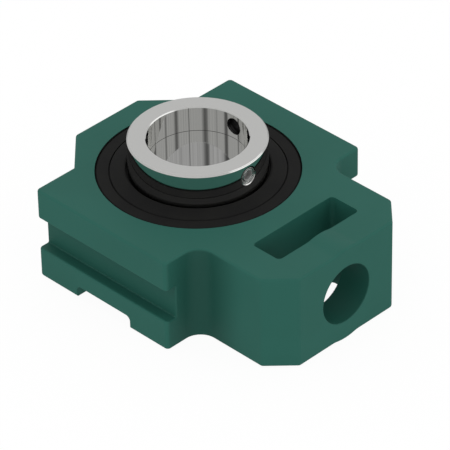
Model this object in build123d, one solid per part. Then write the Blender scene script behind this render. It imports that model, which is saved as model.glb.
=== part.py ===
from build123d import *
from math import pi, sin, sqrt
import os

# Take-up bearing unit. The shaft runs along Z and the adjusting screw along X.
# The origin is where the shaft axis crosses the centre plane of the guide grooves.
# All sizes are in millimetres.

# Shaft and inner ring
shaft_bore = 44.45
ring_wall = 8.375
ring_width = 49.2
ring_short_side = 20.3
ring_bevel = 0.6
bore_chamfer = 0.4

# Balls and tracks
ball_diameter = 12.7
ball_count = 10
first_ball_angle = 9.0
ball_to_inner_land = 4.4
ball_to_outer_land = 3.9
track_ease = 0.25
ball_clearance = 0.06

# Outer ring
outer_ring_width = 24.0
outer_ring_wall = 4.59
outer_ring_edge = 0.45
outer_ring_sink = 0.35
feed_groove_offset = 7.0
feed_groove_width = 3.5
feed_groove_depth = 0.7
feed_hole_diameter = 2.5

# Seals and flingers
seal_thickness = 2.2
seal_inset = 1.2
seal_bead = 1.4
seal_bead_rise = 0.75
seal_plate = 0.9
seal_lip_clearance = 0.08
seal_lip_width = 0.7
seal_lip_drop = 0.7
flinger_thickness = 0.8
flinger_rise = 1.7
flinger_dish = 1.3
flinger_channel = 0.75
flinger_bend = 0.5
flinger_rim_clearance = 0.4
flinger_gap = 0.3

# Cage
cage_wall = 4.8
cage_floor = 1.5
cage_prong_height = 3.4
cage_prong_thickness = 1.1
cage_notch_drop = 1.5
pocket_clearance = 0.15

# Grub screws
screw_diameter = 8.0
screw_length = 6.0
screw_clearance = 0.05
screw_below_top = 6.0
screw_sink = 0.3
screw_chamfer = 0.6
socket_across_flats = 4.0
socket_depth = 3.0
cup_diameter = 4.4
cup_depth = 1.2
cup_floor_diameter = 0.4

# Housing
housing_height = 45.5
seat_clearance = 0.08
seat_mouth_gap = 0.45
seat_mouth_chamfer = 0.1
side_wall = 7.65
groove_depth = 5.6
groove_width = 16.0
groove_root_radius = 0.5
groove_edge_radius = 0.8
guide_back = 39.4
guide_front = 39.9
back_wall = 11.05
back_half_width = 36.5
nose_half_width = 39.9
nose_corner = 11.5
nose_root_radius = 8.0
slot_bridge = 10.22
slot_width = 15.8
slot_length = 48.6
slot_corner_radius = 2.0
slot_lip_radius = 0.9
front_wall = 15.7
screw_hole_diameter = 28.0
boss_rise = 0.9
boss_blend_radius = 12.0
corner_radius = 2.0
rim_radius = 1.2
cut_edge_radius = 0.3
relief_back = 16.0
relief_front = 17.0
relief_depth = 6.1
relief_corner_radius = 2.5
loading_slot_clearance = 0.3
seat_groove_width = 5.0
seat_groove_depth = 1.0

# Grease nipple
nipple_thread_diameter = 6.0
nipple_thread_length = 5.5
nipple_thread_clearance = 0.05
nipple_hex = 7.0
nipple_hex_height = 3.5
nipple_neck_diameter = 4.8
nipple_neck_length = 2.0
nipple_head_diameter = 6.5
nipple_head_length = 2.2
nipple_tip_diameter = 3.6
nipple_tip_length = 1.8
nipple_bore = 1.6
grease_hole_diameter = 3.0
tapped_depth = 8.0

# Heights and radii that follow
top = housing_height / 2
outer_half = outer_ring_width / 2
centre = top - outer_ring_sink - outer_half
ring_bottom = centre - ring_short_side
ring_top = ring_bottom + ring_width
bore_radius = shaft_bore / 2
ring_radius = bore_radius + ring_wall
ball_radius = ball_diameter / 2
pitch_radius = ring_radius + ball_to_inner_land
outer_land = pitch_radius + ball_to_outer_land
track_radius = ball_radius + track_ease
inner_floor = pitch_radius - ball_radius - ball_clearance
outer_floor = pitch_radius + ball_radius + ball_clearance
sphere_radius = outer_floor + outer_ring_wall
outer_edge = sqrt(sphere_radius ** 2 - outer_half ** 2)
seal_outside = outer_half - seal_inset
seal_inside = seal_outside - seal_thickness
bead_middle = (seal_outside + seal_inside) / 2
seat_radius = sphere_radius + seat_clearance
seat_mouth = outer_edge + seat_mouth_gap
seat_half = sqrt(seat_radius ** 2 - seat_mouth ** 2)
screw_height = ring_top - screw_below_top
screw_outer_end = ring_radius - screw_sink
feed_height = centre - feed_groove_offset
groove_root = seat_radius + side_wall
half_width = groove_root + groove_depth
back_end = seat_radius + back_wall
slot_back = seat_radius + slot_bridge
slot_front = slot_back + slot_width
nose_front = slot_front + front_wall
screw_hole_radius = screw_hole_diameter / 2
boss_radius = top + boss_rise


def face_at(points, plane=Plane.XZ):
    """Closed face through corner points; on the XZ plane they are radius and height."""
    return make_face(plane * Polyline(*points, close=True))


def mirrored(solid):
    """The same piece at the other end of the bearing."""
    return mirror(solid, about=Plane.XY.offset(centre))


def near(value, target):
    return abs(value - target) < 0.01


# Inner ring
def inner_ring():
    profile = face_at([
        (bore_radius + bore_chamfer, ring_bottom),
        (ring_radius - ring_bevel, ring_bottom),
        (ring_radius, ring_bottom + ring_bevel),
        (ring_radius, ring_top - ring_bevel),
        (ring_radius - ring_bevel, ring_top),
        (bore_radius + bore_chamfer, ring_top),
        (bore_radius, ring_top - bore_chamfer),
        (bore_radius, ring_bottom + bore_chamfer),
    ])
    track = Plane.XZ * Pos(inner_floor + track_radius, centre) * Circle(track_radius)
    ring = revolve(profile, Axis.Z) - revolve(track, Axis.Z)
    reach = ring_radius + 1
    hole = extrude(Circle(screw_diameter / 2), reach)
    ring -= Pos(0, 0, screw_height) * Rot(0, 90, 0) * hole
    ring -= Pos(0, 0, screw_height) * Rot(-90, 0, 0) * hole
    return ring


# Outer ring: spherical outside, ball track, a groove at each end for the seal
def outer_ring():
    face_edge = outer_edge - outer_ring_edge
    slant = outer_ring_edge + outer_ring_wall
    blank = revolve(face_at([
        (outer_land, -outer_half),
        (face_edge, -outer_half),
        (face_edge + slant, -outer_half + slant),
        (face_edge + slant, outer_half - slant),
        (face_edge, outer_half),
        (outer_land, outer_half),
    ]), Axis.Z)
    ring = blank & Sphere(sphere_radius)
    track = Plane.XZ * Pos(outer_floor - track_radius, 0) * Circle(track_radius)
    ring -= revolve(track, Axis.Z)
    bead_groove = Plane.XZ * Pos(outer_land, bead_middle) * Rectangle(2 * seal_bead_rise, seal_bead)
    groove = revolve(bead_groove, Axis.Z)
    ring -= groove
    ring -= mirror(groove, about=Plane.XY)
    groove_radius = sqrt(sphere_radius ** 2 - feed_groove_offset ** 2) - feed_groove_depth
    feed = Cylinder(sphere_radius + 1, feed_groove_width) - Cylinder(groove_radius, feed_groove_width)
    ring -= Pos(0, 0, -feed_groove_offset) * feed
    hole = Cylinder(feed_hole_diameter / 2, 2 * (sphere_radius + 1), rotation=(0, 90, 0))
    ring -= Pos(0, 0, -feed_groove_offset) * hole
    return Pos(0, 0, centre) * ring


# Balls
def ball_place(index):
    angle = first_ball_angle + index * 360 / ball_count
    return Pos(0, 0, centre) * Rot(0, 0, angle) * Pos(pitch_radius, 0, 0)


def ball(index):
    return ball_place(index) * Sphere(ball_radius)


# Cage: a ring below the balls with a pair of prongs round each ball
def cage():
    pocket_radius = ball_radius + pocket_clearance
    low = -pocket_radius - cage_floor
    inside = pitch_radius - cage_wall / 2
    outside = pitch_radius + cage_wall / 2
    high = cage_prong_height
    wall = face_at([(inside, low), (outside, low), (outside, high), (inside, high)])
    ring = Pos(0, 0, centre) * revolve(wall, Axis.Z)
    pitch = 2 * pitch_radius * sin(pi / ball_count)
    notch_width = pitch - 2 * (pocket_radius + cage_prong_thickness)
    notch = Box(3 * cage_wall, notch_width, 2 * (cage_prong_height + cage_notch_drop))
    notch = fillet(notch.edges().filter_by(Axis.X).group_by(Axis.Z)[0], notch_width / 3)
    for index in range(ball_count):
        ring -= ball_place(index) * Sphere(pocket_radius)
        ring -= ball_place(index + 0.5) * Pos(0, 0, cage_prong_height) * notch
    return ring


# Seal: a dished plate with a bead that snaps into the outer ring and a lip at the inner ring
def upper_seal():
    lip = ring_radius + seal_lip_clearance
    low = centre + seal_inside
    high = centre + seal_outside
    plate_low = centre + bead_middle - seal_plate / 2
    plate_high = plate_low + seal_plate
    bead = outer_land + seal_bead_rise
    bead_low = centre + bead_middle - seal_bead / 2
    bead_high = bead_low + seal_bead
    return revolve(face_at([
        (lip, high - seal_plate / 2 - seal_lip_drop),
        (lip + seal_lip_width, plate_low - seal_plate / 2 - seal_lip_drop),
        (lip + seal_thickness, plate_low - seal_lip_drop),
        (outer_land - seal_bead, plate_low),
        (outer_land - seal_bead, low),
        (outer_land, low),
        (outer_land, bead_low),
        (bead, bead_low),
        (bead, bead_high),
        (outer_land, bead_high),
        (outer_land, high),
        (outer_land - seal_bead, high),
        (outer_land - seal_bead, plate_high),
        (lip + seal_thickness, plate_high - seal_lip_drop),
        (lip + seal_lip_width, high - seal_lip_drop),
    ]), Axis.Z)


# Flinger: a pressed, dished disc whose foot grips the inner ring and whose rim turns down over
# the seal, just inside the face of the outer ring
def upper_flinger():
    half = flinger_thickness / 2
    foot = centre + seal_outside - seal_lip_drop + flinger_gap + half
    disc = centre + outer_half + flinger_rise - half
    wall = ring_radius + flinger_channel + half
    rim = outer_land - flinger_rim_clearance - half
    rim_low = centre + seal_outside + flinger_gap
    middle = FilletPolyline(
        (ring_radius, foot),
        (wall, foot),
        (wall, disc),
        (rim, disc - flinger_dish),
        (rim, rim_low),
        radius=flinger_bend,
    )
    return revolve(Plane.XZ * trace(middle, flinger_thickness), Axis.Z)


# Grub screw, lying along X with its socket outwards
def grub_screw():
    radius = screw_diameter / 2 - screw_clearance
    body = Cylinder(radius, screw_length)
    body = chamfer(body.edges().filter_by(GeomType.CIRCLE), screw_chamfer)
    flats = RegularPolygon(socket_across_flats / 2, 6, major_radius=False)
    body -= Pos(0, 0, screw_length / 2) * extrude(flats, -socket_depth)
    cup = Cone(cup_diameter / 2, cup_floor_diameter / 2, cup_depth)
    body -= Pos(0, 0, (cup_depth - screw_length) / 2) * cup
    middle = screw_outer_end - screw_length / 2
    return Pos(middle, 0, screw_height) * Rot(0, 90, 0) * body


# Grease nipple, screwed into the back end and pointing along -X
def grease_nipple():
    thread = nipple_thread_diameter / 2 - nipple_thread_clearance
    neck = nipple_neck_diameter / 2
    head = nipple_head_diameter / 2
    tip = nipple_tip_diameter / 2
    neck_top = nipple_hex_height + nipple_neck_length
    head_top = neck_top + nipple_head_length
    turned = revolve(face_at([
        (nipple_bore / 2, -nipple_thread_length),
        (thread - screw_chamfer, -nipple_thread_length),
        (thread, -nipple_thread_length + screw_chamfer),
        (thread, 0),
        (neck, 0),
        (neck, neck_top),
        (head, neck_top + (head - neck)),
        (head, head_top),
        (tip, head_top + nipple_tip_length),
        (nipple_bore / 2, head_top + nipple_tip_length),
    ]), Axis.Z)
    flats = RegularPolygon(nipple_hex / 2, 6, major_radius=False)
    collar = extrude(flats, nipple_hex_height) - Cylinder(nipple_bore / 2, 2 * nipple_hex_height)
    body = turned + collar
    return Pos(-back_end, 0, feed_height) * Rot(0, -90, 0) * body


# Housing
def housing_outline():
    back_flat = back_half_width - (back_end - guide_back)
    side = [
        (-back_end, -back_flat),
        (-guide_back, -back_half_width),
        (-guide_back, -half_width),
        (guide_front, -half_width),
        (guide_front, -nose_half_width),
        (nose_front - nose_corner, -nose_half_width),
        (nose_front, nose_corner - nose_half_width),
    ]
    corners = side + [(x, -y) for x, y in reversed(side)]
    roots = [(x, y) for x, y in corners if x == guide_front and abs(y) == nose_half_width]
    others = [corner for corner in corners if corner not in roots]
    sketch = face_at(corners, Plane.XY)
    sketch = fillet(vertices_at(sketch, roots), nose_root_radius)
    return fillet(vertices_at(sketch, others), corner_radius)


def vertices_at(sketch, points):
    return [v for v in sketch.vertices() if any(near(v.X, x) and near(v.Y, y) for x, y in points)]


def boss_pad():
    """Swelling of the front wall round the screw hole, above and below the flat faces."""
    reach = boss_radius + boss_blend_radius
    blend_y = sqrt(reach ** 2 - (top + boss_blend_radius) ** 2)
    share = boss_radius / reach
    meet = (blend_y * share, (top + boss_blend_radius) * share)
    right = [(blend_y, top), meet]
    left = [(-blend_y, top), (-meet[0], meet[1])]
    section = Plane.YZ * (
        Line((-blend_y, 0), left[0])
        + RadiusArc(left[0], left[1], -boss_blend_radius)
        + ThreePointArc(left[1], (0, boss_radius), right[1])
        + RadiusArc(right[1], right[0], -boss_blend_radius)
        + Line(right[0], (blend_y, 0))
        + Line((blend_y, 0), (-blend_y, 0))
    )
    start = slot_front - slot_corner_radius
    pad = Pos(start, 0, 0) * extrude(make_face(section), nose_front - start, dir=(1, 0, 0))
    return pad + mirror(pad, about=Plane.XY)


def bearing_seat():
    """Space for the insert: mouth, spherical seat, grease groove and the plain bore below."""
    above = top + rim_radius
    line = Polyline(
        (seat_mouth, centre + seat_half),
        (seat_mouth, top - seat_mouth_chamfer),
        (seat_mouth + seat_mouth_chamfer, top),
        (seat_mouth + seat_mouth_chamfer, above),
        (0, above),
        (0, -above),
        (seat_mouth + rim_radius, -above),
        (seat_mouth + rim_radius, -top),
        (seat_mouth, -top + rim_radius),
        (seat_mouth, centre - seat_half),
    )
    seat = ThreePointArc(line @ 1, (seat_radius, centre), line @ 0)
    space = revolve(make_face(Plane.XZ * (line + seat)), Axis.Z)
    groove_radius = sqrt(seat_radius ** 2 - feed_groove_offset ** 2) + seat_groove_depth
    space += Pos(0, 0, feed_height) * Cylinder(groove_radius, seat_groove_width)
    way_in = Pos(0, 0, -above) * extrude(Circle(seat_radius), centre + above)
    width = outer_ring_width + 2 * loading_slot_clearance
    return space + (way_in & Box(width, 3 * seat_radius, 4 * top))


def guide_groove():
    groove = Box(2 * (guide_back + guide_front), 2 * groove_depth, groove_width)
    root = groove.edges().filter_by(Axis.X).group_by(Axis.Y)[0]
    return Pos(0, half_width, 0) * fillet(root, groove_root_radius)


def underside_relief():
    relief = Box(relief_back + relief_front, 3 * half_width, 2 * relief_depth)
    roof = relief.edges().filter_by(Axis.Y).group_by(Axis.Z)[-1]
    relief = fillet(roof, relief_corner_radius)
    return Pos((relief_front - relief_back) / 2, 0, -top) * relief


def grease_way():
    reach = back_end + 1
    feed = Pos(-reach, 0, 0) * Rot(0, 90, 0) * extrude(Circle(grease_hole_diameter / 2), back_wall + 1)
    tapped = Rot(0, 90, 0) * extrude(Circle(nipple_thread_diameter / 2), tapped_depth + 1)
    return Pos(0, 0, feed_height) * (feed + Pos(-reach, 0, 0) * tapped)


def housing():
    outline = housing_outline()
    body = extrude(outline, top, both=True) + boss_pad()
    border = outline.face().outer_wire()
    rim = [e for e in body.edges() if abs((e @ 0.5).Z) > top - 0.01 and over(border, e)]
    body = fillet(rim, rim_radius)

    slot_place = Pos((slot_back + slot_front) / 2, 0, 0)
    slot_shape = RectangleRounded(slot_width, slot_length, slot_corner_radius)
    body -= slot_place * extrude(slot_shape, 2 * top, both=True)
    slot_border = (slot_place * slot_shape).face().outer_wire()
    lips = [e for e in body.edges() if abs((e @ 0.5).Z) > top - 0.01 and over(slot_border, e)]
    upper_lips = [e for e in lips if (e @ 0.5).Z > 0]
    lower_lips = [e for e in lips if (e @ 0.5).Z < 0]
    body = fillet(upper_lips, slot_lip_radius)
    body = fillet(lower_lips, cut_edge_radius)

    body -= slot_place * Rot(0, 90, 0) * extrude(Circle(screw_hole_radius), nose_front)
    circles = body.edges().filter_by(GeomType.CIRCLE)
    mouths = [e for e in circles if near(e.radius, screw_hole_radius) and near(e.length, 2 * pi * e.radius)]
    body = fillet(mouths, cut_edge_radius)

    for groove in (guide_groove(), mirror(guide_groove(), about=Plane.XZ)):
        before = body.edges()
        body -= groove
        opened = [e for e in body.edges() - before if on_side(e)]
        body = fillet(opened, groove_edge_radius)

    return body - bearing_seat() - underside_relief() - grease_way()


def over(border, edge):
    """True where an edge lies above or below a flat border line."""
    middle = edge @ 0.5
    return border.distance_to(Vertex(middle.X, middle.Y, 0)) < 0.01


def on_side(edge):
    """True for the edges where a guide groove opens, not those along its root."""
    middle = edge @ 0.5
    at_end = near(middle.X, guide_front) or near(middle.X, -guide_back)
    return at_end or abs(middle.Y) > groove_root + groove_root_radius


if __name__ == "__main__":
    os.makedirs("parts", exist_ok=True)
    pieces = {
        "housing": housing(),
        "outer_ring": outer_ring(),
        "inner_ring": inner_ring(),
        "cage": cage(),
        "upper_seal": upper_seal(),
        "upper_flinger": upper_flinger(),
        "front_grub_screw": grub_screw(),
        "grease_nipple": grease_nipple(),
    }
    pieces["lower_seal"] = mirrored(pieces["upper_seal"])
    pieces["lower_flinger"] = mirrored(pieces["upper_flinger"])
    pieces["side_grub_screw"] = Rot(0, 0, 90) * pieces["front_grub_screw"]
    for index in range(ball_count):
        pieces[f"ball_{index + 1:02d}"] = ball(index)
    for name, piece in pieces.items():
        export_step(piece, f"parts/{name}.step")
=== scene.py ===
from math import atan2, cos, pi, radians, sin

import bmesh
import bpy
from mathutils import Matrix, Vector


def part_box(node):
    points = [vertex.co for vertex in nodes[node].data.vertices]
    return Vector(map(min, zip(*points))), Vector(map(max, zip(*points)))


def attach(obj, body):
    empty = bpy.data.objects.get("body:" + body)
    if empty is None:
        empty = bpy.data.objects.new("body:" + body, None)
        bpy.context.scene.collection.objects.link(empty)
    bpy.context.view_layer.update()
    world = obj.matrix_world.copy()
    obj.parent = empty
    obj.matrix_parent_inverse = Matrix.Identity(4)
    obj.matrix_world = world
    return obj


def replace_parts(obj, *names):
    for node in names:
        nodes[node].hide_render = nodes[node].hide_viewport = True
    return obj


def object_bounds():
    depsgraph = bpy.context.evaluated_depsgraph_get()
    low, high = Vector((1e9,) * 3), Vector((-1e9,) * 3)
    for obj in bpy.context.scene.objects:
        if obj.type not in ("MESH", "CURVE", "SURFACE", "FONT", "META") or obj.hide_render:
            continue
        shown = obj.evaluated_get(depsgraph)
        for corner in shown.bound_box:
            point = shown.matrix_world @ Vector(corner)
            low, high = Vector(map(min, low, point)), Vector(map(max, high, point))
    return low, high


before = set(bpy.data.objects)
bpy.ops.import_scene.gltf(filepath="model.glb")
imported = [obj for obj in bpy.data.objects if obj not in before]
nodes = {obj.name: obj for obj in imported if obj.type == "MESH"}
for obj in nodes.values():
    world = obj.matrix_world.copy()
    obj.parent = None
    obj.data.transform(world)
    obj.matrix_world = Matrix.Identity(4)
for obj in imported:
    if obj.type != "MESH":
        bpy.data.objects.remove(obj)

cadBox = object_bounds()
mm = 0.001
# in millimetres: vertices this close are one, and both grub screws lie at this height
touching = 0.001
screwHeight = 33.3
# in degrees: a sharper edge stays a crease
creaseAngle = 30
print("frame loaded:", len(nodes), "pieces")


# sums on shader sockets

class Signal:
    # a socket that takes part in Python sums
    def __init__(self, maker, socket):
        self.maker = maker
        self.socket = socket

    def step(self, operation, *others):
        return self.maker.maths(operation, self, *others)

    def __add__(self, other):
        return self.step("ADD", other)

    def __radd__(self, other):
        return self.maker.maths("ADD", other, self)

    def __sub__(self, other):
        return self.step("SUBTRACT", other)

    def __rsub__(self, other):
        return self.maker.maths("SUBTRACT", other, self)

    def __mul__(self, other):
        return self.step("MULTIPLY", other)

    def __truediv__(self, other):
        return self.step("DIVIDE", other)

    def __pow__(self, other):
        return self.step("POWER", other)

    def __abs__(self):
        return self.step("ABSOLUTE")

    def sine(self):
        return self.step("SINE")

    def part(self):
        return self.step("FRACT")

    def least(self, other):
        return self.step("MINIMUM", other)

    def most(self, other):
        return self.step("MAXIMUM", other)

    def above(self, low, high):
        # 0 up to low, 1 from high on, smooth between
        settings = {"interpolation_type": "SMOOTHSTEP"}
        return self.maker.node("ShaderNodeMapRange", settings, (self, low, high)).out()

    def below(self, low, high):
        return 1 - self.above(low, high)

    def near(self, value, width):
        # 1 at a value, 0 further off than width
        return abs(self - value).below(width * 0.5, width)


class Made:
    # a node that was just added
    def __init__(self, maker, node):
        self.maker = maker
        self.node = node

    def out(self, name=0):
        return Signal(self.maker, self.node.outputs[name])


class NodeMaker:
    def __init__(self, tree):
        self.tree = tree
        tree.nodes.clear()

    def node(self, kind, settings=None, values=()):
        made = self.tree.nodes.new(kind)
        for name, value in (settings or {}).items():
            setattr(made, name, value)
        pairs = values.items() if isinstance(values, dict) else enumerate(values)
        for name, value in pairs:
            if isinstance(value, Signal):
                self.tree.links.new(value.socket, made.inputs[name])
            else:
                made.inputs[name].default_value = value
        return Made(self, made)

    def maths(self, operation, *values):
        return self.node("ShaderNodeMath", {"operation": operation}, values).out()

    def mix(self, share, first, second):
        # blend of two colours
        settings = {"data_type": "RGBA", "clamp_factor": True}
        return self.node("ShaderNodeMix", settings, {0: share, 6: first, 7: second}).out(2)

    def blend(self, share, first, second):
        # blend of two shaders
        return self.node("ShaderNodeMixShader", None, (share, first, second)).out()

    def spot(self):
        return self.node("ShaderNodeTexCoord").out("Object")

    def parts(self, vector):
        split = self.node("ShaderNodeSeparateXYZ", values=(vector,))
        return [split.out(i) for i in range(3)]

    def place(self):
        # object coordinates in millimetres: x, y, z
        return [part * 1000 for part in self.parts(self.spot())]

    def stretched(self, scale):
        values = {"Vector": self.spot(), "Scale": scale}
        return self.node("ShaderNodeMapping", {"vector_type": "POINT"}, values).out()

    def noise(self, perMetre, detail=2.0, vector=None):
        values = {"Vector": vector or self.spot(), "Scale": perMetre, "Detail": detail}
        return self.node("ShaderNodeTexNoise", None, values).out("Fac")

    def turned(self, way, perMm, depth, wander, wanderPerMetre):
        # tool marks across a direction, not quite even
        return (way * perMm + self.noise(wanderPerMetre) * wander).sine() * depth

    def bump(self, height):
        # height in millimetres
        return self.node("ShaderNodeBump", None, {"Height": height, "Distance": mm}).out()


def radius(x, y):
    return (x * x + y * y) ** 0.5


def turnOf(x, y):
    # angle from the first axis to the second
    return y.step("ARCTAN2", x)


def linear(red, green, blue):
    # linear colour of an ordinary screen colour, 0 to 255
    parts = []
    for value in (red, green, blue):
        value = value / 255
        parts.append(value / 12.92 if value <= 0.04045 else ((value + 0.055) / 1.055) ** 2.4)
    return (*parts, 1)


def emptyMaterial(name):
    made = bpy.data.materials.new(name)
    made.use_nodes = True
    return made, NodeMaker(made.node_tree)


def material(name, build):
    made, m = emptyMaterial(name)
    shader = m.node("ShaderNodeBsdfPrincipled", None, build(m)).out()
    m.node("ShaderNodeOutputMaterial", None, {"Surface": shader})
    return made


# green enamel on the casting
# pairs here and below are where a fade starts and ends, apart from places; lengths are in mm

housingPaint = {
    "colour": (39, 95, 84),
    "shade": (38, 93, 82),
    # colour of the painted shade in the recesses
    "recessShadeColour": (30, 78, 68),
    "shadePerMetre": 32,
    "shadeFade": (0.35, 0.65),
    "grooveInner": (50, 52),
    "grooveOuter": (57.6, 58.8),
    "grooveHeight": (8.1, 8.3),
    "grooveFront": (41, 42),
    "grooveShare": 0.6,
    "cornerAt": (40.5, -40.5),
    "cornerReach": (6, 26),
    "cornerBack": (39.2, 40),
    "cornerTop": (21.75, 22.65),
    "cornerShare": 0.95,
    "screwHoleRadius": (14.1, 14.4),
    "screwHoleBack": (56, 58),
    "screwHoleShare": 0.7,
    "shine": 0.17,
    "roughness": 0.5,
    "roughSpread": 0.06,
    "roughPerMetre": 300,
    "peelPerMetre": 900,
    "peelDepth": 0.008,
    "castPerMetre": 160,
    "castDepth": 0.03,
}

# bare turned iron in the bearing seat
seatIron = {
    "colour": (96, 96, 94),
    "radius": (46.5, 46.7),
    "height": (22.5, 22.6),
    "metal": 0.9,
    "smoother": 0.1,
    "marks": {"perMm": 9, "depth": 0.005, "wander": 2, "wanderPerMetre": 40},
}


def paintedRecessShade(x, y, z):
    # painted shade: darker paint in the grooves, one inner corner of the nose and the screw
    # hole, where shade falls
    p = housingPaint
    aside = abs(y)
    inGroove = aside.above(*p["grooveInner"]) * aside.below(*p["grooveOuter"])
    inGroove = inGroove * abs(z).below(*p["grooveHeight"]) * x.below(*p["grooveFront"])
    cornerX, cornerY = p["cornerAt"]
    inCorner = radius(x - cornerX, y - cornerY).below(*p["cornerReach"])
    inCorner = inCorner * x.above(*p["cornerBack"]) * z.below(*p["cornerTop"])
    inHole = radius(y, z).below(*p["screwHoleRadius"]) * x.above(*p["screwHoleBack"])
    inGroove = inGroove * p["grooveShare"]
    return inGroove.most(inCorner * p["cornerShare"]).most(inHole * p["screwHoleShare"])


def greenPaint(m):
    p = housingPaint
    iron = seatIron
    x, y, z = m.place()
    patches = m.noise(p["shadePerMetre"], detail=3).above(*p["shadeFade"])
    paint = m.mix(patches, linear(*p["colour"]), linear(*p["shade"]))
    # painted shade: the grooves, the nose corner and the screw hole take the darker colour
    paint = m.mix(paintedRecessShade(x, y, z), paint, linear(*p["recessShadeColour"]))
    peel = m.noise(p["peelPerMetre"]) * p["peelDepth"]
    cast = peel + m.noise(p["castPerMetre"], detail=3) * p["castDepth"]
    rough = p["roughness"] + m.noise(p["roughPerMetre"]) * p["roughSpread"]
    seat = radius(x, y).below(*iron["radius"]) * abs(z).below(*iron["height"])
    return {
        "Base Color": m.mix(seat, paint, linear(*iron["colour"])),
        "Metallic": seat * iron["metal"],
        "Roughness": rough - seat * iron["smoother"],
        "Specular IOR Level": p["shine"],
        "Normal": m.bump(cast * (1 - seat) + m.turned(z, **iron["marks"]) * seat),
    }


# bright inner ring, with a line and a seam round and along its bore and two tapped holes

ringFinish = {
    "colour": (224, 224, 222),
    "markColour": (70, 70, 70),
    # dark colour painted in the tapped holes as their shade
    "holeShadeColour": (68, 68, 68),
    "upperEnd": (39.26, 39.29),
    "lowerEnd": (-9.89, -9.86),
    "boreRadius": (22.275, 22.345),
    "lineHeight": 27.1,
    "lineWidth": 0.16,
    "seamAngle": 145.1,
    "seamWidth": 0.01,
    "seamShare": 0.7,
    "polish": 0.045,
    "endRoughness": 0.3,
    "duller": 0.3,
    "endMarks": {"perMm": 14, "depth": 0.0015, "wander": 1.2, "wanderPerMetre": 60},
    "honePerMetre": (900, 900, 40),
    "honeDepth": 0.0003,
}

tappedHole = {
    "side": (0, 1),
    "farOff": 100,
    "radius": (4.01, 4.03),
    "depth": (29.7, 29.8),
    "notInBore": (0.4, 0.6),
    "threadPitch": 1.0,
    "threadDepth": 0.25,
    "threadReach": (8, 9),
    "mouthRadius": 4.5,
    "mouthDepth": (30.2, 30.3),
}


def ringSteel(m):
    p = ringFinish
    hole = tappedHole
    x, y, z = m.place()
    out = radius(x, y)
    onEnd = z.above(*p["upperEnd"]).most(z.below(*p["lowerEnd"]))
    inBore = out.below(*p["boreRadius"])
    line = z.near(p["lineHeight"], p["lineWidth"]) * inBore
    seam = turnOf(x, y).near(radians(p["seamAngle"]), p["seamWidth"]) * inBore
    marks = line.most(seam * p["seamShare"])
    # one hole along X and one along Y: thread inside, painted dark as shade, countersunk mouth
    # outside
    rise = z - screwHeight
    toFront = radius(y, rise) + x.below(*hole["side"]) * hole["farOff"]
    toSide = radius(x, rise) + y.below(*hole["side"]) * hole["farOff"]
    toHole = toFront.least(toSide)
    inHole = toHole.below(*hole["radius"]) * inBore.below(*hole["notInBore"])
    inHole = inHole * out.below(*hole["depth"])
    turn = turnOf(rise, y) * toFront.below(*hole["threadReach"])
    turn = turn + turnOf(x, rise) * toSide.below(*hole["threadReach"])
    climb = (out / hole["threadPitch"] + turn / (2 * pi)).part()
    thread = abs(climb - 0.5) * (2 * hole["threadDepth"])
    mouth = toHole.least(hole["mouthRadius"]) * out.above(*hole["mouthDepth"])
    grind = m.turned(out, **p["endMarks"]) * onEnd
    hone = m.noise(1, vector=m.stretched(p["honePerMetre"])) * p["honeDepth"] * (1 - onEnd)
    steel = m.mix(marks, linear(*p["colour"]), linear(*p["markColour"]))
    rough = p["polish"] + onEnd * (p["endRoughness"] - p["polish"])
    return {
        # painted shade: the walls of the tapped holes take the dark colour
        "Base Color": m.mix(inHole, steel, linear(*p["holeShadeColour"])),
        "Metallic": 1.0,
        "Roughness": rough + marks * p["duller"] + inHole * p["duller"],
        "Normal": m.bump(grind + hone + thread * inHole + mouth * (1 - inHole)),
    }


# black outer ring and flingers

blackFinish = {
    "colour": (28, 28, 28),
    "shade": (31, 31, 30),
    "cloudPerMetre": 120,
    "cloudFade": (0.3, 0.7),
    "shine": 0.05,
    "roughness": 0.45,
    "roughSpread": 0.1,
    "marks": {"perMm": 11, "depth": 0.002, "wander": 1.5, "wanderPerMetre": 50},
}


def blackSteel(m):
    p = blackFinish
    x, y, z = m.place()
    cloud = m.noise(p["cloudPerMetre"], detail=3)
    shade = cloud.above(*p["cloudFade"])
    return {
        "Base Color": m.mix(shade, linear(*p["colour"]), linear(*p["shade"])),
        "Roughness": p["roughness"] + cloud * p["roughSpread"],
        "Specular IOR Level": p["shine"],
        "Normal": m.bump(m.turned(radius(x, y), **p["marks"])),
    }


ballFinish = {
    "colour": (215, 215, 215),
    "grainPerMetre": 2000,
    "roughness": 0.05,
    "roughSpread": 0.04,
}


def ballSteel(m):
    p = ballFinish
    return {
        "Base Color": linear(*p["colour"]),
        "Metallic": 1.0,
        "Roughness": p["roughness"] + m.noise(p["grainPerMetre"]) * p["roughSpread"],
    }


cageFinish = {
    "colour": (204, 188, 146),
    "shade": (186, 168, 124),
    "flowPerMetre": 90,
    "grainPerMetre": 1800,
    "grainDepth": 0.01,
    "roughness": 0.45,
    "roughSpread": 0.15,
}


def cagePlastic(m):
    p = cageFinish
    flow = m.noise(p["flowPerMetre"], detail=3)
    grain = m.noise(p["grainPerMetre"])
    return {
        "Base Color": m.mix(flow, linear(*p["colour"]), linear(*p["shade"])),
        "Roughness": p["roughness"] + grain * p["roughSpread"],
        "Normal": m.bump(grain * p["grainDepth"]),
    }


sealFinish = {
    "colour": (20, 20, 21),
    "shade": (28, 27, 26),
    "grainPerMetre": 1500,
    "grainDepth": 0.01,
    "roughness": 0.6,
    "roughSpread": 0.15,
    "shine": 0.2,
}


def sealRubber(m):
    p = sealFinish
    grain = m.noise(p["grainPerMetre"], detail=3)
    return {
        "Base Color": m.mix(grain, linear(*p["colour"]), linear(*p["shade"])),
        "Roughness": p["roughness"] + grain * p["roughSpread"],
        "Specular IOR Level": p["shine"],
        "Normal": m.bump(grain * p["grainDepth"]),
    }


# grub screws: blackened, with the socket end left bright, roughly turned and knocked about

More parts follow.
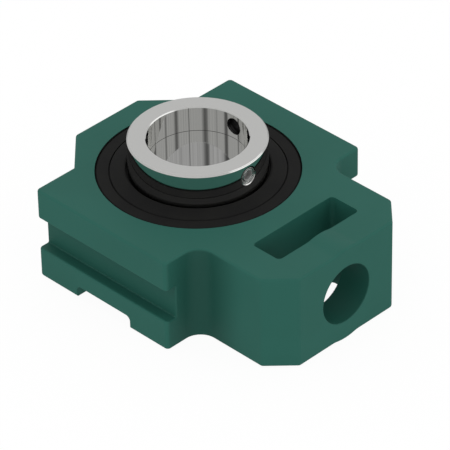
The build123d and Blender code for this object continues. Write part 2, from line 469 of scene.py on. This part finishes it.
screwFinish = {
    "dark": (24, 24, 24),
    "bright": (232, 232, 230),
    "metal": 0.95,
    "endFrom": (29.5, 29.6),
    "socketRadius": (2.43, 2.45),
    "socketFrom": (26.9, 27.0),
    "socketShare": 0.5,
    "ringPitch": 0.8,
    "ringDepth": 0.07,
    "dentPerMetre": 700,
    "dentDepth": 0.3,
    "grainPerMetre": 900,
    "grainDepth": 0.004,
    "roughness": 0.4,
    "smoother": 0.28,
    "roughSpread": 0.08,
    "shine": 0.2,
}


def screwSteel(m):
    p = screwFinish
    x, y, z = m.place()
    rise = z - screwHeight
    out = radius(x, y)
    toAxis = radius(y, rise).least(radius(x, rise))
    inSocket = toAxis.below(*p["socketRadius"]) * out.above(*p["socketFrom"])
    onEnd = out.above(*p["endFrom"]) * (1 - inSocket)
    bright = onEnd + inSocket * p["socketShare"]
    grain = m.noise(p["grainPerMetre"], detail=3)
    rings = (toAxis * (2 * pi / p["ringPitch"])).sine() * p["ringDepth"]
    dents = (rings + m.noise(p["dentPerMetre"], detail=1) * p["dentDepth"]) * onEnd
    return {
        "Base Color": m.mix(bright, linear(*p["dark"]), linear(*p["bright"])),
        "Metallic": bright * p["metal"],
        "Roughness": p["roughness"] - bright * p["smoother"] + grain * p["roughSpread"],
        "Specular IOR Level": p["shine"],
        "Normal": m.bump(grain * p["grainDepth"] + dents),
    }


platedFinish = {
    "colour": (196, 190, 168),
    "shade": (176, 172, 160),
    "cloudPerMetre": 250,
    "grainPerMetre": 900,
    "grainDepth": 0.004,
    "roughness": 0.22,
    "roughSpread": 0.12,
}


def platedSteel(m):
    p = platedFinish
    cloud = m.noise(p["cloudPerMetre"])
    grain = m.noise(p["grainPerMetre"], detail=3)
    return {
        "Base Color": m.mix(cloud, linear(*p["colour"]), linear(*p["shade"])),
        "Metallic": 1.0,
        "Roughness": p["roughness"] + grain * p["roughSpread"],
        "Normal": m.bump(grain * p["grainDepth"]),
    }


finishes = {
    "green_paint": greenPaint,
    "ring_steel": ringSteel,
    "black_steel": blackSteel,
    "ball_steel": ballSteel,
    "cage_plastic": cagePlastic,
    "seal_rubber": sealRubber,
    "screw_steel": screwSteel,
    "plated_steel": platedSteel,
}
materials = {name: material(name, build) for name, build in finishes.items()}
for node in nodes.values():
    slotName = node.data.materials[0].name.split(".")[0]
    node.material_slots[0].material = materials[slotName]
print("finishes made:", len(materials))


# pieces made here

def finished(name, bm, slotName, body):
    # a bmesh in millimetres becomes a piece at the origin
    bmesh.ops.remove_doubles(bm, verts=bm.verts, dist=touching / 2)
    bmesh.ops.recalc_face_normals(bm, faces=bm.faces)
    bmesh.ops.scale(bm, verts=bm.verts, vec=(mm, mm, mm))
    mesh = bpy.data.meshes.new(name)
    bm.to_mesh(mesh)
    bm.free()
    mesh.shade_smooth()
    mesh.set_sharp_from_angle(angle=radians(creaseAngle))
    mesh.materials.append(materials[slotName])
    piece = bpy.data.objects.new(name, mesh)
    bpy.context.scene.collection.objects.link(piece)
    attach(piece, body)
    return piece


def rimAt(bm, height):
    rim = []
    for edge in bm.edges:
        if edge.is_boundary and all(abs(v.co.z - height) < touching for v in edge.verts):
            rim.append(edge)
    return rim


def drawnIn(bm, rim, share, rise):
    # a new row of faces from a rim, scaled about the axis and moved along it
    grown = bmesh.ops.extrude_edge_only(bm, edges=rim)["geom"]
    verts = [part for part in grown if isinstance(part, bmesh.types.BMVert)]
    bmesh.ops.scale(bm, verts=verts, vec=(share, share, 1))
    bmesh.ops.translate(bm, verts=verts, vec=(0, 0, rise))
    return [part for part in grown if isinstance(part, bmesh.types.BMEdge)]


grubScrew = {
    "diameter": 7.9,
    "length": 6.0,
    "pitch": 1.0,
    "threadDepth": 0.5,
    "rootFlat": 0.2,
    "crestFrom": 0.5,
    "crestTo": 0.7,
    "chamfer": 0.3,
    "socketFlats": 4.0,
    "socketDepth": 2.6,
    "socketLip": 0.25,
    "socketPoint": 0.4,
    "socketFloor": 0.1,
    "cupRadius": 2.2,
    "cupDepth": 1.2,
    "cupFloor": 0.2,
    "stepsRound": 72,
    "outerEnd": 30.3,
}


def threadedRod(bm):
    # one zigzag line turns once and climbs one pitch, then both ends are cut off square
    p = grubScrew
    crest = p["diameter"] / 2
    root = crest - p["threadDepth"]
    length = p["length"]
    pitch = p["pitch"]
    low = -2 * pitch
    zigzag = []
    while low < length + pitch:
        zigzag += [(root, low), (root, low + p["rootFlat"] * pitch)]
        zigzag += [(crest, low + p["crestFrom"] * pitch), (crest, low + p["crestTo"] * pitch)]
        low += pitch
    verts = [bm.verts.new((r, 0, z)) for r, z in zigzag]
    edges = [bm.edges.new(pair) for pair in zip(verts, verts[1:])]
    bmesh.ops.spin(bm, geom=verts + edges, cent=(0, 0, 0), axis=(0, 0, 1), angle=2 * pi,
                   dvec=(0, 0, pitch / p["stepsRound"]), steps=p["stepsRound"], use_merge=False)
    bmesh.ops.remove_doubles(bm, verts=bm.verts, dist=touching)
    for height, way in ((0, -1), (length, 1)):
        everything = bm.verts[:] + bm.edges[:] + bm.faces[:]
        bmesh.ops.bisect_plane(bm, geom=everything, plane_co=(0, 0, height),
                               plane_no=(0, 0, way), clear_outer=True)


def madeGrubScrew(name, node, body, angle):
    p = grubScrew
    length = p["length"]
    endRadius = p["diameter"] / 2 - p["chamfer"]
    bm = bmesh.new()
    threadedRod(bm)
    for vert in bm.verts:
        limit = endRadius + min(vert.co.z, length - vert.co.z)
        vert.co.xy *= min(1, limit / vert.co.xy.length)
    # cup point
    rim = drawnIn(bm, rimAt(bm, 0), p["cupRadius"] / endRadius, 0)
    rim = drawnIn(bm, rim, p["cupFloor"] / p["cupRadius"], p["cupDepth"])
    bmesh.ops.contextual_create(bm, geom=rim)
    # hexagon socket with a small lip and a drilled bottom
    flat = p["socketFlats"] / 2
    lipFlat = flat + p["socketLip"]
    rim = drawnIn(bm, rimAt(bm, length), 1, 0)
    for vert in {v for e in rim for v in e.verts}:
        turn = atan2(vert.co.y, vert.co.x) % (pi / 3) - pi / 6
        vert.co.xy *= lipFlat / cos(turn) / vert.co.xy.length
    rim = drawnIn(bm, rim, flat / lipFlat, -p["socketLip"])
    rim = drawnIn(bm, rim, 1, p["socketLip"] - p["socketDepth"])
    rim = drawnIn(bm, rim, p["socketFloor"], -p["socketPoint"])
    bmesh.ops.contextual_create(bm, geom=rim)
    # from upright at the origin to its hole
    bmesh.ops.translate(bm, verts=bm.verts, vec=(0, 0, p["outerEnd"] - length))
    lie = Matrix.Rotation(radians(angle), 3, "Z") @ Matrix.Rotation(radians(90), 3, "Y")
    bmesh.ops.rotate(bm, verts=bm.verts, cent=(0, 0, 0), matrix=lie)
    bmesh.ops.translate(bm, verts=bm.verts, vec=(0, 0, screwHeight))
    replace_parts(finished(name, bm, "screw_steel", body), node)


# check ball that closes the tip of the grease nipple
nippleBall = {
    "radius": 0.76,
    "sunk": 0.15,
    "subdivisions": 3,
}


def madeNippleBall():
    p = nippleBall
    low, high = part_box("grease_nipple")
    bm = bmesh.new()
    bmesh.ops.create_icosphere(bm, subdivisions=p["subdivisions"], radius=p["radius"])
    middle = (low.x / mm + p["sunk"] + p["radius"], 0, (low.z + high.z) / 2 / mm)
    bmesh.ops.translate(bm, verts=bm.verts, vec=middle)
    finished("nipple_check_ball", bm, "ball_steel", "housing_body")


madeGrubScrew("front_socket_screw", "front_grub_screw", "front_screw_body", 0)
madeGrubScrew("side_socket_screw", "side_grub_screw", "side_screw_body", 90)
madeNippleBall()
print("screws and check ball made")


# studio

studioFloor = {
    "half": 3.0,
    "colour": (1.0, 1.0, 1.0, 1.0),
    "ownLight": 0.95,
    "softLight": 0.5,
}


def whiteFloor():
    p = studioFloor
    bm = bmesh.new()
    bmesh.ops.create_grid(bm, x_segments=1, y_segments=1, size=p["half"])
    bmesh.ops.translate(bm, verts=bm.verts, vec=(0, 0, cadBox[0].z))
    mesh = bpy.data.meshes.new("floor")
    bm.to_mesh(mesh)
    bm.free()
    floor = bpy.data.objects.new("floor", mesh)
    bpy.context.scene.collection.objects.link(floor)
    made, m = emptyMaterial("floor_white")
    rays = m.node("ShaderNodeLightPath")
    seen = rays.out("Is Camera Ray").most(rays.out("Is Transmission Ray"))
    lit = m.node("ShaderNodeBsdfDiffuse", None, {"Color": p["colour"]}).out()
    own = m.node("ShaderNodeEmission", None, {"Strength": 1.0}).out()
    share = p["softLight"] + seen * (p["ownLight"] - p["softLight"])
    top = m.blend(share, lit, own)
    # clear from below, so that the underside can be seen
    below = m.node("ShaderNodeNewGeometry").out("Backfacing")
    clear = m.node("ShaderNodeBsdfTransparent").out()
    m.node("ShaderNodeOutputMaterial", None, {"Surface": m.blend(below, top, clear)})
    mesh.materials.append(made)
    floor.visible_glossy = False


room = {
    "colour": (1.0, 1.0, 1.0, 1.0),
    "level": 1.0,
    "upperLevel": 0.6,
    "lowerLevel": 0.385,
    "perBounce": 0.26,
    "horizon": (-0.1, 0.1),
    "keyDirection": (0.57, 0.60, 0.56),
    "keyFade": (0.85, 0.93),
    "keyLevel": 0.6,
    "streaks": 0.11,
    "streakWaves": (0.9, 0.31, 0.53),
    "loneWave": 0.5,
    "stripCore": 0.1,
}

# dark upright strips that a polished bore mirrors: angle round Z and half width in degrees,
# share of the light taken
lowerStrips = [
    (246, 14, 0.82),
    (296, 11, 0.74),
    (310, 5, 0.1),
    (355, 8, 0.12),
]

# the same after a second bounce inside the bore
innerStrips = [
    (1, 15, 0.76),
    (48, 8, 0.22),
    (100, 20, 0.7),
    (232, 15, 0.68),
    (287, 7, 0.58),
]


def stripedRoom(around, streaks, strips):
    left = streaks
    for angle, halfWidth, share in strips:
        off = abs(((around - angle + 180) / 360).part() - 0.5) * 360
        left = left * (1 - off.below(halfWidth * room["stripCore"], halfWidth) * share)
    return left


def whiteRoom():
    # even white light; what shines sees a grey room with a bright panel and dark strips below
    p = room
    world = bpy.data.worlds.new("room")
    bpy.context.scene.world = world
    world.use_nodes = True
    m = NodeMaker(world.node_tree)
    rays = m.node("ShaderNodeLightPath")
    way = m.node("ShaderNodeTexCoord").out("Generated")
    x, y, z = m.parts(way)
    around = (turnOf(x, y) / (2 * pi)).part() * 360
    waves = [(around * wave).sine() for wave in p["streakWaves"]]
    streaks = 1 + (waves[0] * waves[1] + waves[2] * p["loneWave"]) * p["streaks"]
    first = stripedRoom(around, streaks, lowerStrips)
    second = stripedRoom(around, streaks, innerStrips)
    # each bounce inside the bore takes some light, which the room gives back
    further = rays.out("Glossy Depth") - 1
    inner = further.step("GREATER_THAN", 0.5)
    lower = (first + (second - first) * inner) * p["lowerLevel"] * (further * p["perBounce"] + 1)
    settings = {"operation": "DOT_PRODUCT"}
    key = m.node("ShaderNodeVectorMath", settings, (way, p["keyDirection"])).out("Value")
    upper = p["upperLevel"] + key.above(*p["keyFade"]) * p["keyLevel"]
    up = z.above(*p["horizon"])
    shown = upper * up + lower * (1 - up)
    plain = m.node("ShaderNodeBackground", None, (p["colour"], p["level"])).out()
    shine = m.node("ShaderNodeBackground", None, (p["colour"], shown)).out()
    both = m.blend(rays.out("Is Glossy Ray"), plain, shine)
    m.node("ShaderNodeOutputWorld", None, {"Surface": both})


photoView = {
    "azimuth": 45.384,
    "elevation": 35.775,
    "roll": -1.119,
    "place": (954.7, -926.5, 950.6),
    "focalPixels": 3758.2,
    "imagePixels": 450,
    "sensor": 36.0,
    "clipEnd": 20,
}


def photoCamera():
    p = photoView
    around = radians(p["azimuth"])
    over = radians(p["elevation"])
    back = Vector((sin(around) * cos(over), -cos(around) * cos(over), sin(over)))
    right = Vector((cos(around), sin(around), 0))
    turn = Matrix((right, back.cross(right), back)).transposed()
    turn = turn @ Matrix.Rotation(radians(p["roll"]), 3, "Z")
    data = bpy.data.cameras.new("camera")
    data.sensor_width = p["sensor"]
    data.lens = p["focalPixels"] / p["imagePixels"] * p["sensor"]
    data.clip_end = p["clipEnd"]
    camera = bpy.data.objects.new("camera", data)
    camera.matrix_world = Matrix.Translation(Vector(p["place"]) * mm) @ turn.to_4x4()
    bpy.context.scene.collection.objects.link(camera)
    bpy.context.scene.camera = camera


whiteFloor()
whiteRoom()
photoCamera()
bpy.context.scene.view_settings.view_transform = "Standard"
print("studio ready")
